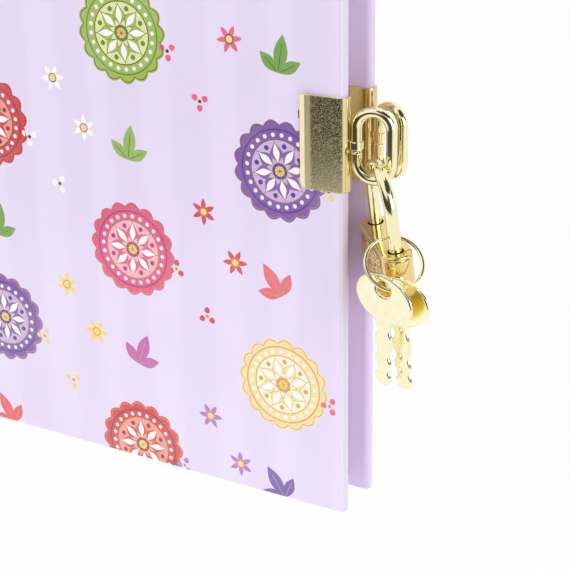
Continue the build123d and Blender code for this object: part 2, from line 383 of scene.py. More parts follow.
def draw_rosette(base, u, v, share, turn):
    """Mixes a rosette over the base colour, and gives the colour and the mask of its foil lines."""
    reach, angle = polar(u, v, turn * tau)
    main, light, deep = (pick(share, inks) for inks in (rosette_inks, rosette_lights, rosette_deeps))
    scallop = rim_radius + abs((angle * rosette_petals).math("COSINE")) * scallop_height
    base = reach.below(scallop).mix(base, main)
    base = abs(reach - line_radius).below(line_half).mix(base, deep)
    bead = length(spokes(angle, beads_per_petal * rosette_petals) * reach, reach - bead_circle)
    base = bead.below(bead_radius).mix(base, paint(white_ink))
    inside = reach.below(field_radius)
    base = inside.mix(base, light)
    spoke = spokes(angle, rosette_petals) * reach
    along = ((reach - petal_start) * (math.pi / petal_length)).fade(0.0, math.pi) * math.pi
    arch = along.math("SINE")
    petal = spoke - arch * petal_half
    base = (petal.below(0.0) * inside).mix(base, main)
    base = ((spoke - arch * petal_core).below(0.0) * inside).mix(base, paint(white_ink))
    between = spokes(angle + math.pi / rosette_petals, rosette_petals) * reach
    base = length(between, reach - drop_circle).below(drop_radius).mix(base, deep)
    base = reach.below(button_radius).mix(base, deep)
    base = reach.below(button_top).mix(base, paint(star_gold))
    foil = [abs(reach - scallop + scallop_foil[0]).below(scallop_foil[1]),
            abs(reach - field_foil[0]).below(field_foil[1]), abs(petal).below(petal_foil) * inside]
    return base, any_of(foil)


print("rosettes of", 2 * rosette_size, "mm")

# %% [markdown]
# The gaps between rosettes hold three smaller motifs. They are drawn in the same way, so that a gap never
# looks like another kind of print. A sprig is three sine arches on lines that lean apart, a star is a
# circle that draws in between its rays, and the dots are discs on three spokes.

# %% Print on the covering paper: sprigs, stars and dots
sprig_leaves = ((0.0, 8.2, 1.6), (0.95, 5.9, 1.3), (-0.95, 5.9, 1.3))
sprig_foot = 3.6
sprig_lean = 1.6
vein_half = 0.09
vein_share = 0.75
star_rays = 6
star_reach = 3.1
star_draw = 3.9
star_eye = 0.75
star_foil = (0.95, 0.12)
dot_count = 3
dot_circle = 1.5
dot_radius = 0.72
dot_foil = 0.42


def draw_sprig(base, u, v, share, turn):
    """Leaves of one stem: each is a sine arch on both sides of its own line, with a vein of foil."""
    main = pick(share, sprig_inks)
    lean = (turn - 0.5) * sprig_lean
    rise = v + sprig_foot
    veins = []
    for spread, leaf, half in sprig_leaves:
        sine = (lean + spread).math("SINE")
        cosine = (lean + spread).math("COSINE")
        along = u * sine + rise * cosine
        beside = abs(u * cosine - rise * sine)
        arch = (along * (math.pi / leaf)).math("SINE") * half
        inside = along.fade(0.0, 0.1) * along.below(leaf)
        base = ((beside - arch).below(0.0) * inside).mix(base, main)
        veins.append(beside.below(vein_half) * along.fade(0.3, 0.6) * along.below(vein_share * leaf))
    return base, any_of(veins)


def draw_star(base, u, v, share, turn):
    """A rayed star: its edge draws in evenly between the rays, round a dot and a ring of foil."""
    reach, angle = polar(u, v, turn * tau)
    edge = star_reach - spokes(angle, star_rays) * star_draw
    base = reach.below(edge).mix(base, pick(share, star_inks))
    base = reach.below(star_eye).mix(base, paint(star_gold))
    return base, abs(reach - star_foil[0]).below(star_foil[1])


def draw_dots(base, u, v, share, turn):
    """Three dots round a smaller one of foil."""
    reach, angle = polar(u, v, turn * tau)
    dots = length(spokes(angle, dot_count) * reach, reach - dot_circle).below(dot_radius)
    return dots.mix(base, pick(share, star_inks)), reach.below(dot_foil)


cover_plan = ((draw_rosette, 0.0, 0.0), (draw_sprig, 0.0, 0.5), (draw_star, 0.5, 0.25),
              (draw_dots, 0.5, 0.75), (draw_star, 0.30, 0.46), (draw_dots, 0.70, 0.55))
spine_plan = ((draw_star, 0.5, 0.0), (draw_dots, 0.5, 0.25), (draw_sprig, 0.5, 0.5), (draw_dots, 0.5, 0.75))
print("motifs in a cell:", len(cover_plan), "on the covers,", len(spine_plan), "on the spine")

# %% [markdown]
# The film on the paper makes it satin: the shader's roughness is middling, and a thin coat lies on top.
# Foil is metal, so its mask feeds Metallic as well as the colour. A pale line along the fore-edge's
# rounded corner is a painted highlight, and a very fine bump stands for the fibres under the film.
# Paper and foil could be two materials, but one material with a mask needs no cutting of the surface.

# %% Covering paper
lavender = ink(233, 221, 247)
lavender_dark = ink(225, 210, 242)
inside_shade_lilac = ink(228, 203, 251)
stripe_step = 15.3
stripe_inset = 6.4
slow_stripe = 1.62 * stripe_step
slow_share = 0.4
stripe_strength = 0.5
spine_skin = (0.6, 0.4)
print_skin = (1.3, 0.9)
inside_shade_depth = (1.5, 2.6)
inside_shade_strength = 0.75
highlight_inset = (0.85, 0.5)
highlight_depth = (0.4, 0.2)
highlight_strength = 0.75
cover_low, cover_high = (np.array(corner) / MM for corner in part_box("front_wrap"))
fore_edge = float(cover_high[0])
case_half = float(-cover_low[1])
spine_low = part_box("spine_wrap")[0].x / MM


def from_edges(finish):
    """How far a place is in from the fore-edge, and how deep under the outer face of its cover."""
    x, y = finish.axes()[:2]
    return fore_edge - x, case_half - abs(y)


def striped(across, first):
    """Tonal stripes: a cosine across the paper and a slower one that keeps them from looking ruled."""
    wave = ((across - first) * (tau / stripe_step)).math("COSINE")
    wave = wave + (across * (tau / slow_stripe) + 1.0).math("SINE") * slow_share
    return (wave.fade(-0.55, 0.55) * stripe_strength).mix(paint(lavender), paint(lavender_dark))


def covering_paper(name, plan, on_spine):
    """Striped lavender paper under film, with a plan of motifs printed on its outer face."""
    finish = Finish(name, coat_roughness=0.22, coat_weight=0.9)
    x, y, z = finish.axes()
    across = y if on_spine else x
    shift = 0.0 if on_spine else print_shift[0]
    plain = striped(across, 0.0 if on_spine else fore_edge - stripe_inset)
    colour = plain
    lines = []
    for draw, along, drop in plan:
        cell = repeat(across, z, shift + along * column_step, print_shift[1] + drop * row_step)
        colour, line = draw(colour, *cell)
        lines.append(line)
    if on_spine:
        outer = x.fade(spine_low + spine_skin[0], spine_low + spine_skin[1])
    else:
        inset, depth = from_edges(finish)
        outer = depth.fade(*print_skin)
    foil = any_of(lines) * outer
    colour = foil.mix(outer.mix(plain, colour), paint(foil_gold))
    if not on_spine:
        # painted shade: the inner faces, where the two covers shade each other, are mixed towards a deeper
        # lilac
        colour = (depth.fade(*inside_shade_depth) * inside_shade_strength).mix(colour, paint(inside_shade_lilac))
        # painted highlight: a pale line along the fore-edge's rounded corner, where it catches the light
        edge_highlight = inset.fade(*highlight_inset) * depth.fade(*highlight_depth)
        colour = (edge_highlight * highlight_strength).mix(colour, paint(white_ink))
    cloud = finish.place.noise(scale=0.05, detail=4.0)
    colour = (cloud.fade(0.35, 0.8) * 0.10).mix(colour, paint(white_ink))
    fibre = finish.place.noise(scale=6.0, detail=2.0)
    rough = 0.42 + finish.place.noise(scale=0.35) * 0.12 - foil * 0.22
    finish.set(base_color=colour, metallic=foil * 0.9, roughness=rough,
               normal=fibre.bump(strength=0.08, depth=0.04))
    return finish


print_paper = covering_paper("printed_paper", cover_plan, False)
spine_paper = covering_paper("spine_paper", spine_plan, True)
dress(print_paper, "front_wrap", "back_wrap")
dress(spine_paper, "spine_wrap")
print("covering paper on", len(print_paper.tree.nodes), "nodes")

# %% [markdown]
# Inside, the boards are grey millboard and the endpapers are tinted lilac, with a small lattice printed on
# them. Both are plain sheets, so their solids stay as they are, and only flecks and fibres are added.

# %% Board and endpapers
board_grey = ink(150, 140, 132)
board_fleck = ink(188, 178, 168)
endpaper_lilac = ink(214, 196, 236)
endpaper_line = ink(232, 220, 246)
endpaper_fibre = ink(196, 176, 222)
lattice_step = 6.0


def millboard():
    """Grey board of pressed waste paper: flecks of a paler grey, and a bump from the same flecks."""
    finish = Finish("millboard", roughness=0.9)
    fleck = finish.place.noise(scale=3.0, detail=5.0, rough=0.7)
    finish.set(base_color=fleck.mix(paint(board_grey), paint(board_fleck)),
               normal=fleck.bump(strength=0.4, depth=0.1))
    return finish


def endpaper():
    """Lilac paper with a small tonal lattice: two sets of slanting lines."""
    finish = Finish("endpaper", roughness=0.75)
    x, z = finish.axes()[::2]
    lines = [abs(((x + z * slope) / lattice_step).math("FRACT") - 0.5) for slope in (1.0, -1.0)]
    lattice = lines[0].math("MINIMUM", lines[1]).fade(0.10, 0.03) * 0.5
    fibre = finish.place.noise(scale=2.5, detail=5.0, rough=0.7)
    colour = lattice.mix(paint(endpaper_lilac), paint(endpaper_line))
    colour = (fibre.fade(0.4, 0.8) * 0.15).mix(colour, paint(endpaper_fibre))
    finish.set(base_color=colour, normal=fibre.bump(strength=0.25, depth=0.03))
    return finish


dress(millboard(), "front_board", "back_board", "spine_board")
dress(endpaper(), "front_pastedown", "back_pastedown", "front_flyleaf", "back_flyleaf")
print("boards and endpapers dressed")

# %% [markdown]
# The pages are cream paper. A page block seen from its edge shows its leaves as hundreds of thin lines.
# Each leaf could be modelled, but it would be thinner than a pixel, so the page finish draws lines across
# the thickness on the three cut edges. On the page itself it draws pale writing lines instead.

# %% Pages
page_cream = ink(250, 246, 236)
page_fibre = ink(238, 230, 214)
page_rule = ink(206, 188, 226)
cut_light = ink(244, 238, 224)
cut_dark = ink(198, 186, 166)
cut_skin = 0.06
leaf_wave = 0.11
leaf_wander = 0.05
rule_step = 7.5
foot_margin = 9.0
head_margin = 14.0
spine_margin = 6.0
fore_margin = 5.0
margin_soft = 0.2


def page_paper():
    """Cream leaves: fine lines on the cut edges, pale ruled lines on the faces."""
    finish = Finish("page_paper", roughness=0.82)
    x, y, z = finish.axes()
    low, high = (np.array(corner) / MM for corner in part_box("section_1"))
    edge = any_of([x.fade(high[0] - cut_skin, high[0] - cut_skin / 2),
                   z.fade(high[2] - cut_skin, high[2] - cut_skin / 2),
                   z.fade(low[2] + cut_skin, low[2] + cut_skin / 2)])
    leaves = ((y + finish.place.noise(scale=0.8) * leaf_wander) / leaf_wave).math("SINE")
    shade = leaves.fade(-0.6, 0.9) * 0.5 + finish.place.noise(scale=9.0) * 0.25
    room = z.fade(low[2] + foot_margin, low[2] + foot_margin + margin_soft)
    room = room * z.fade(high[2] - head_margin, high[2] - head_margin - margin_soft)
    room = room * x.fade(low[0] + spine_margin, low[0] + spine_margin + margin_soft)
    room = room * x.fade(high[0] - fore_margin, high[0] - fore_margin - margin_soft)
    rule = abs((z / rule_step).math("FRACT") - 0.5).below(0.02, 0.012)
    fibre = finish.place.noise(scale=1.6, detail=5.0, rough=0.65)
    sheet = (fibre.fade(0.35, 0.8) * 0.12).mix(paint(page_cream), paint(page_fibre))
    sheet = (rule * room * 0.8).mix(sheet, paint(page_rule))
    cut = shade.mix(paint(cut_light), paint(cut_dark))
    relief = edge * leaves * 0.5 + fibre * 0.1
    finish.set(base_color=edge.mix(sheet, cut), normal=relief.bump(strength=0.3, depth=0.05))
    return finish


dress(page_paper(), "sewn_backs", *[f"section_{number}" for number in range(1, 7)])
print("pages ruled every", rule_step, "mm")

# %% [markdown]
# Two small cloths finish the book's back: a striped band at the head and the tail, and an open cotton weave
# that lines the glued backs. Threads this fine are waves of colour and bump, and not strands of their own.

# %% Bands and lining
band_white = ink(246, 240, 248)
band_violet = ink(140, 96, 182)
band_stripe = 1.5
band_thread = 0.3
weave_gap = ink(196, 188, 172)
weave_cotton = ink(236, 230, 216)
weave_step = 0.9


def band_cloth():
    """Striped silk of the head and tail bands: two colours in turn across the book, with a thread bump."""
    finish = Finish("band_cloth", roughness=0.6, sheen_weight=0.4)
    across = finish.axes()[1]
    stripe = (across * (tau / band_stripe)).math("SINE")
    thread = (across * (tau / band_thread)).math("SINE")
    finish.set(base_color=stripe.fade(-0.15, 0.15).mix(paint(band_white), paint(band_violet)),
               normal=thread.bump(strength=0.5, depth=0.05))
    return finish


def lining_cloth():
    """Open cotton weave glued over the sewn backs: a wave across times a wave up."""
    finish = Finish("lining_cloth", roughness=0.9)
    across, height = (abs((axis * (tau / weave_step)).math("SINE")) for axis in finish.axes()[1:])
    weave = across * height
    finish.set(base_color=weave.mix(paint(weave_gap), paint(weave_cotton)),
               normal=weave.bump(strength=0.5, depth=0.1))
    return finish


dress(band_cloth(), "headband", "tailband")
dress(lining_cloth(), "spine_lining")
print("bands and lining dressed")

# %% [markdown]
# The metal is brass-plated steel. Plated sheet and bent wire look different: the hasps' panels keep a fine
# stipple and scratches, wire is polished, the padlock has a dimpled panel on each side, and the keys are
# bright and plain. Each finish has its own gold. A stipple on a hasp is many small matt dots on a mirror:
# the dots scatter light and look pale where the mirror shows something dark. The padlock's dimples are
# coarser and of two tones, and less like a mirror. A stipple belongs to one region, so its mask comes from
# the surface's place. Modelled dots would need a hundred thousand faces, and a bump does for such low ones.

# %% Plating
cloud_size = 0.45
cloud_strength = 0.35
cloud_darker = (0.86, 0.86, 0.70)
scratch_scale = 0.42
scratch_line = (0.010, 0.008)
relief_depth = 0.05


def plated(name, colour, rough, scratch, stipple=None):
    """Gold plating: clouds of tone, thin scratches, and perhaps a stipple of matt dots inside a region."""
    finish = Finish(name, metallic=1.0)
    cloud = finish.place.noise(cloud_size)
    crack = finish.place.node("ShaderNodeTexVoronoi", {"feature": "DISTANCE_TO_EDGE"},
                              {"Vector": finish.place, "Scale": scratch_scale}, "Distance")
    line = crack.below(*scratch_line) * finish.place.noise(scale=0.8, detail=1.0).fade(0.60, 0.66)
    roughness = rough + cloud * 0.05 + line * (0.5 * scratch)
    relief = cloud * 0.02 - line * (0.2 * scratch)
    tone = tuple(share * light for share, light in zip(cloud_darker, colour))
    colour = (cloud.fade(0.40, 0.80) * cloud_strength).mix(paint(colour), paint(tone))
    if stipple:
        mask = stipple["region"](finish)
        dots = finish.place.noise(stipple["scale"], detail=1.0, rough=0.5).fade(*stipple["dots"])
        roughness = roughness + dots * mask * stipple["matt"]
        relief = relief + dots * mask * stipple["height"]
        colour = (mask * dots.fade(0.8, 0.2)).mix(colour, paint(stipple["ground"]))
        if "dull" in stipple:
            colour = (mask * dots).mix(colour, paint(stipple["dots_ink"]))
            finish.set(metallic=1 - mask * stipple["dull"])
    finish.set(base_color=colour, roughness=roughness, normal=relief.bump(strength=1.0, depth=relief_depth))
    return finish


wire_brass = plated("wire_brass", ink(250, 240, 198), rough=0.05, scratch=0.1)
key_brass = plated("key_brass", ink(255, 249, 214), rough=0.12, scratch=0.2)
spring_steel = Finish("spring_steel", metallic=1.0, roughness=0.3, base_color=paint(ink(190, 190, 194)))
dress(spring_steel, "latch_spring")
print("wire, keys and spring plated")

# %% [markdown]
# The hasps' sheet has its stipple on the outer panel alone. Handling has matted a band beside the ridge.
# Inside the folds, between the two covers, and on the outer bend, a deeper amber is painted into the
# colour as painted shade and painted reflection of brass on brass. Each place could be painted by hand,
# but the distance in from the fore-edge and the depth under the outer face already tell them apart.

# %% Brass of the hasps
# colour of the painted shade and reflection in the folds of the hasps
fold_shade_amber = ink(204, 154, 70)
panel_span = ((8.3, 7.3), (0.2, 0.6))
band_span = ((8.6, 8.3), (6.8, 7.6))
proud_skin = (-0.1, -0.3)
fold_shade_depth = (0.3, 1.8)
bend_shade_reach = (0.5, -0.3)
fold_shade_strength = 0.45
ridge_matt = 0.34


def outer_strip(finish, span):
    """A strip of a hasp's outer side, proud of the cover: soft at the two distances from the fore-edge."""
    inset, depth = from_edges(finish)
    return depth.fade(*proud_skin) * inset.fade(*span[0]) * inset.fade(*span[1])


def hasp_panel_region(finish):
    """The outer panel of a hasp, between the ridge and the bend."""
    return outer_strip(finish, panel_span)


def paint_fold_shade(finish):
    """Painted shade: deeper amber in the hasps' folds, between the two covers, and on the outer bend."""
    inset, depth = from_edges(finish)
    # painted shade and reflection: amber mixed in where the sheet faces itself and the dark gap
    fold_shade = any_of([depth.fade(*fold_shade_depth), inset.fade(*bend_shade_reach)]) * fold_shade_strength
    finish.set(base_color=fold_shade.mix(finish.fed("Base Color"), paint(fold_shade_amber)))


def matt_ridge(finish):
    """Handling has matted the plating of a hasp in a band beside its ridge."""
    finish.set(roughness=finish.fed("Roughness") + outer_strip(finish, band_span) * ridge_matt)


panel_stipple = dict(region=hasp_panel_region, scale=6.2, dots=(0.53, 0.70), matt=0.26, height=0.16,
                     ground=ink(236, 226, 182))
hasp_brass = plated("hasp_brass", ink(247, 236, 192), rough=0.09, scratch=0.6, stipple=panel_stipple)
paint_fold_shade(hasp_brass)
matt_ridge(hasp_brass)
print("hasps plated on", len(hasp_brass.tree.nodes), "nodes")

# %% [markdown]
# The padlock hangs askew, so its dimples are found along its own three axes, which the joints give: the
# latch slides along the row of the shackle's legs, and the body drops straight down. The mouths of the two
# holes round those legs are painted dark brown, as painted shade inside them.

# %% Brass of the padlock
lock_origin = hinge_point("plug_turn")
lock_row = hinge_axis("latch_slide")
lock_up = -hinge_axis("padlock_drop")
lock_side = np.cross(lock_up, lock_row)
lock_thick = 6.6
shackle_spacing = 14.6
hole_mouth = 1.72
recess_half = 6.6
recess_top = -1.9
recess_low = -11.5
recess_skin = (0.10, 0.20)
hole_shade_level = (-9.0, -8.5)
hole_shade_strength = 0.92
hole_shadow = ink(58, 42, 20)


def lock_place(finish):
    """Place along the padlock's row, through its thickness and up, from the middle of its top."""
    return [finish.place.dot(axis) - float(lock_origin @ axis) for axis in (lock_row, lock_side, lock_up)]


def lock_recess_region(finish):
    """The dimpled panels on the broad sides of the padlock, a little under the surface."""
    along, through, level = lock_place(finish)
    deep = abs(through).fade(lock_thick / 2 - recess_skin[0], lock_thick / 2 - recess_skin[1])
    tall = level.below(recess_top) * level.fade(recess_low, recess_low + 0.1)
    return deep * abs(along).below(recess_half) * tall


def paint_hole_shade(finish):
    """Painted shade round the shackle's legs: dark brown inside the two mouths on top of the padlock."""
    along, through, level = lock_place(finish)
    # painted shade: a dark ring where the mouths of the holes lie in shadow
    mouth = length(abs(along) - shackle_spacing / 2, through).below(hole_mouth) * level.fade(*hole_shade_level)
    finish.set(base_color=(mouth * hole_shade_strength).mix(finish.fed("Base Color"), paint(hole_shadow)))


dimple_stipple = dict(region=lock_recess_region, scale=1.9, dots=(0.42, 0.52), matt=0.35, height=0.6,
                      ground=ink(150, 102, 56), dots_ink=ink(254, 224, 164), dull=0.65)
lock_brass = plated("lock_brass", ink(238, 216, 150), rough=0.08, scratch=0.2, stipple=dimple_stipple)
paint_hole_shade(lock_brass)
dress(lock_brass, "lock_plate", "lock_plug", "latch")
print("padlock plated on", len(lock_brass.tree.nodes), "nodes")

# %% [markdown]
# The metal pieces are surfaces on grids: a function gives the points of a whole grid at once, and the faces
# join neighbours. Seams are closed by merging points that fall together. Thin sheet is one grid with no
# thickness, and Solidify and Bevel give it its gauge and its softened edges. The CAD solids could be
# smoothed instead, but their long triangles would show in every reflection.

# %% From grids to pieces
weld_distance = 0.002
sliver_edge = 0.0005
bevel_steps = 4
bevel_angle = math.radians(50)
sharp_angle = math.radians(45)


def grid_faces(rows, columns, first, round_columns):
    """Four-cornered faces between neighbours of a grid, numbered row by row from first."""
    index = first + np.arange(rows * columns).reshape(rows, columns)
    if round_columns:
        index = np.concatenate([index, index[:, :1]], axis=1)
    corners = (index[:-1, :-1], index[:-1, 1:], index[1:, 1:], index[1:, :-1])
    return np.stack(corners, axis=-1).reshape(-1, 4)


def grid_object(name, grids, material, round_columns=False):
    """An object of several grids (points in millimetres), each joined by its own faces."""
    points, faces, first = [], [], 0
    for grid in grids:
        rows, columns = grid.shape[:2]
        points.append(grid.reshape(-1, 3) * MM)
        faces.extend(grid_faces(rows, columns, first, round_columns).tolist())
        first += rows * columns
    mesh = bpy.data.meshes.new(name)
    mesh.from_pydata(np.concatenate(points).tolist(), [], faces)
    mesh.materials.append(material)
    made = bpy.data.objects.new(name, mesh)
    bpy.context.collection.objects.link(made)
    return made


def close_seams(mesh):
    """Merges points that fall together, drops what has no size, and turns every face outwards."""
    work = bmesh.new()
    work.from_mesh(mesh)
    bmesh.ops.remove_doubles(work, verts=work.verts, dist=weld_distance * MM)
    bmesh.ops.dissolve_degenerate(work, edges=work.edges, dist=sliver_edge * MM)
    bmesh.ops.recalc_face_normals(work, faces=work.faces)
    work.to_mesh(mesh)
    work.free()
    mesh.shade_smooth()


def metal_piece(name, grids, finish, body, node, sheet=0.0, soft_edge=0.0, round_columns=False):
    """Makes one piece of several grids, attaches it to its body and hides the CAD node; sheet is a gauge for
    grids that have none.
    """
    piece = grid_object(name, grids, finish.material, round_columns)
    close_seams(piece.data)
    if sheet:
        wall = piece.modifiers.new("gauge", "SOLIDIFY")
        wall.thickness = sheet * MM
        wall.offset = 0.0
        wall.use_even_offset = True
    if soft_edge:
        edge = piece.modifiers.new("soft_edge", "BEVEL")
        edge.width = soft_edge * MM
        edge.segments = bevel_steps
        edge.limit_method = "ANGLE"
        edge.angle_limit = bevel_angle
        edge.use_clamp_overlap = False
        edge.harden_normals = True
    else:
        piece.data.set_sharp_from_angle(angle=sharp_angle)
    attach(piece, body)
    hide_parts(node)
    print(name, len(piece.data.polygons), "faces on", body)
    return piece


def to_world(local, origin, *axes):
    """Points given along three axes from an origin."""
    return np.asarray(origin) + local @ np.array(axes)


print("grids ready, points weld at", weld_distance, "mm")

# %% [markdown]
# Folded sheet and bent wire are both made by bending: so many millimetres straight on, then a bend. One
# function turns such a list into a path, and another carries a circle along it. A curve object with a round
# bevel would give a bar too, but not the small bevel at its ends, nor points that can be cut to a notch.

# %% Bends and bars
def bent_path(start, heading, runs, spacing=0.25):
    """A flat path of straight runs and bends, each (length, turn): its points and headings.
    The heading changes evenly over the length, so a bend has the radius length / turn and its points lie
    on that circle; a run without a turn goes straight on."""
    spots = [np.array([start], float)]
    headings = [np.array([heading], float)]
    for run, turn in runs:
        share = np.linspace(0.0, 1.0, max(2, math.ceil(run / spacing)) + 1)[1:]
        angle = heading + turn * share
        if turn:
            swung = np.stack([np.sin(angle) - math.sin(heading), math.cos(heading) - np.cos(angle)], 1)
            moved = run / turn * swung
        else:
            moved = run * share[:, None] * np.array([[math.cos(heading), math.sin(heading)]])
        spots.append(spots[-1][-1] + moved)
        headings.append(angle)
        heading += turn
    return np.concatenate(spots), np.concatenate(headings)


def round_bar(path, headings, radius, sides=40, end_bevel=0.15):
    """A round bar along a flat path: point + radius (cos a, sin a) on the path's side and the third axis.
    The end rows close to the middle, with a small bevel."""
    ahead = np.stack([np.cos(headings), np.sin(headings)], 1)
    first, last = path[0], path[-1]
    path = np.concatenate([[first, first, first + end_bevel * ahead[0]], path[1:-1],
                           [last - end_bevel * ahead[-1], last, last]])
    headings = np.concatenate([[headings[0]] * 3, headings[1:-1], [headings[-1]] * 3])
    radii = np.full(len(path), radius)
    radii[[0, -1]] = 0.0
    radii[[1, -2]] = radius - end_bevel
    side = np.stack([-np.sin(headings), np.cos(headings)], 1)
    around = np.linspace(0.0, tau, sides, endpoint=False)
    reach = radii[:, None] * np.cos(around)
    flat = path[:, None, :] + reach[..., None] * side[:, None, :]
    return np.concatenate([flat, (radii[:, None] * np.sin(around))[..., None]], axis=2)


print("bends and bars ready")

# %% [markdown]
# A hasp is one strip of sheet folded over the fore-edge: a flange rises from the cover to a ridge, a
# slightly dished panel runs to the edge, the sheet bends right round it and ends as a short leaf inside.
# Boxes with bevels could stand for it, but a path of runs and bends, carried up the height, keeps one even
# gauge. The two free corners are round, so the height there follows a quarter circle. Two prongs go into
# the board, and an eye is turned round the ring's wire. The back hasp is the same strip seen in a mirror.

# %% Hasps
hasp_height = 20.0
hasp_sheet = 0.5
hasp_soft_edge = 0.11
hasp_gap = 0.05
hasp_corner = 1.6
hasp_panel = 6.55
hasp_dish = (math.radians(6.0), math.radians(11.0))
dish_run = 2.3
ridge_radius = 0.7
flange_slope = math.radians(28.5)
leaf_length = 3.3
prong_spacing = 10.6
prong_width = 1.6
prong_depth = 1.4
front_y = -case_half
cover_thick = cover_high[1] - cover_low[1]


def hasp_path():
    """Mid line of the folded sheet, from the flange's foot to the end of the inner leaf."""
    bend_x = fore_edge - cover_thick / 2
    bend_radius = cover_thick / 2 + hasp_gap + hasp_sheet / 2
    start = (bend_x, front_y - hasp_gap - hasp_sheet / 2)
    turn = -flange_slope - sum(hasp_dish)
    panel = [(hasp_panel - dish_run, hasp_dish[0]), (dish_run, hasp_dish[1]), (-turn * ridge_radius, turn)]
    outward = bent_path(start, math.pi, panel, 0.15)[0]
    rise = front_y - hasp_gap - outward[-1][1]
    foot = bent_path(outward[-1], math.pi - flange_slope, [(rise / math.sin(flange_slope), 0.0)], 0.1)[0]
    inward = bent_path(start, 0.0, [(math.pi * bend_radius, math.pi), (leaf_length, 0.0)], 0.2)[0]
    return np.concatenate([foot[::-1], outward[-2::-1], inward[1:]])


def hasp_grids(level, side):
    """Strip and two prongs of a hasp; side is 1 for the front cover and -1 for the back."""
    path = hasp_path()
    left = path[:, 0].min()
    inset = np.clip(left + hasp_corner - path[:, 0], 0.0, hasp_corner)
    half = hasp_height / 2 - hasp_corner + np.sqrt(hasp_corner ** 2 - inset ** 2)
    share = np.linspace(-1.0, 1.0, 17)
    flat = np.broadcast_to(path[:, None, :], (len(path), len(share), 2))
    grids = [np.concatenate([flat, (level + half[:, None] * share)[..., None]], axis=2)]
    for spot in (-prong_spacing / 2, prong_spacing / 2):
        depth = np.linspace(path[0, 1], front_y + prong_depth, 3)[:, None]
        wide = level + spot + np.linspace(-prong_width / 2, prong_width / 2, 3)[None, :]
        deep, tall = np.broadcast_arrays(depth, wide)
        grids.append(np.stack([np.full(deep.shape, left), deep, tall], axis=2))
    return [grid * np.array([1.0, side, 1.0]) for grid in grids]


eye_height = 1.6
eye_wall = 0.26
eye_bevel = 0.08
eye_support = 0.03
eye_steps = 49
ring_wire = 2.2
ring_play = 0.06


def eye_grid(axis):
    """The eye round the ring's wire: a rectangle with bevelled corners, turned about the wire."""
    inner = ring_wire / 2 + ring_play
    outer = inner + eye_wall
    half = eye_height / 2
    low = half - eye_bevel
    radius = np.array([inner, inner, inner + eye_bevel, outer - eye_bevel, outer, outer, outer, outer,
                       outer - eye_bevel, inner + eye_bevel])
    level = np.array([-low, low, half, half, low, low - eye_support, eye_support - low, -low, -half, -half])
    around = np.linspace(0.0, tau, eye_steps)[:, None]
    tall = np.broadcast_to(level, (eye_steps, len(level)))
    return np.stack([axis[0] + radius * np.cos(around), axis[1] + radius * np.sin(around), axis[2] + tall],
                    axis=2)


for side, cover in ((1, "front"), (-1, "back")):
    axis = hinge_point(f"{cover}_ring_swing")
    metal_piece(f"{cover}_hasp_sheet", hasp_grids(axis[2], side), hasp_brass, f"{cover}_cover",
                f"{cover}_hasp", sheet=hasp_sheet, soft_edge=hasp_soft_edge)
    metal_piece(f"{cover}_hasp_eye", [eye_grid(axis)], wire_brass, f"{cover}_cover",
                f"{cover}_hasp", round_columns=True)

# %% [markdown]
# The rings are oval, of round wire. A path of straight runs and half circles gives the middle line, and a
# circle carried along it gives the bar. A stretched torus would thin the wire on its legs. The wire's ends
# meet on the leg inside the hasp's eye, a hair apart.

# %% Rings
ring_leg_spacing = 7.3
ring_length = 14.2
ring_butt_gap = 0.12
ring_butt_below = 1.4
ring_turns = {"front": math.radians(10.0), "back": math.radians(-22.0)}


def oval_ring():
    """Oval of two legs and two half circles, from one end of the wire round to the other."""
    bend = ring_leg_spacing / 2
    leg = ring_length - ring_leg_spacing
    half_turn = (math.pi * bend, math.pi)
    low = ring_butt_below + ring_butt_gap
    runs = [(leg / 2 - low, 0.0), half_turn, (leg, 0.0), half_turn, (leg / 2 + ring_butt_below, 0.0)]
    return round_bar(*bent_path((0.0, -low), -math.pi / 2, runs), ring_wire / 2)


for cover, turn in ring_turns.items():
    out = np.array([math.cos(turn), math.sin(turn), 0.0])
    wire = to_world(oval_ring(), hinge_point(f"{cover}_ring_swing"), out, up, np.cross(out, up))
    metal_piece(f"{cover}_ring_wire", [wire], wire_brass, f"{cover}_ring_link",
                f"{cover}_ring", round_columns=True)

# %% [markdown]
# The shackle is a thicker bar with a long captive leg and a short free one. The free leg has a notch where
# the latch bites. A boolean cut could make it, but pushing the bar's own points back to a flat leaves clean
# faces, if two rows lie close together where each end of the notch stands.

# %% Shackle
shackle_wire = 2.7
shackle_sides = 48
shackle_leg = 8.0
captive_depth = 11.0
free_depth = 6.2
notch_cut = 0.6
notch_top = 1.6
notch_low = 6.1
notch_end = 0.01


def shackle_bar():
    """Free leg, bow and captive leg; the free leg's inner side is cut flat between two heights."""
    bend = shackle_spacing / 2
    runs = [(free_depth - notch_low, 0.0), (notch_end, 0.0), (notch_low - notch_top - 2 * notch_end, 0.0),
            (notch_end, 0.0), (notch_top + shackle_leg, 0.0), (math.pi * bend, -math.pi),
            (shackle_leg + captive_depth, 0.0)]
    path, headings = bent_path((-bend, -free_depth), math.pi / 2, runs)
    bar = round_bar(path, headings, shackle_wire / 2, shackle_sides)
    cut = (bar[:, :, 1] > -notch_low) & (bar[:, :, 1] < -notch_top) & (bar[:, :, 0] < 0)
    limit = -bend + shackle_wire / 2 - notch_cut
    bar[:, :, 0] = np.where(cut, np.minimum(bar[:, :, 0], limit), bar[:, :, 0])
    return bar


bow = to_world(shackle_bar(), lock_origin, lock_row, lock_up, np.cross(lock_row, lock_up))
metal_piece("shackle_bar", [bow], wire_brass, "shackle_bow", "shackle", round_columns=True)

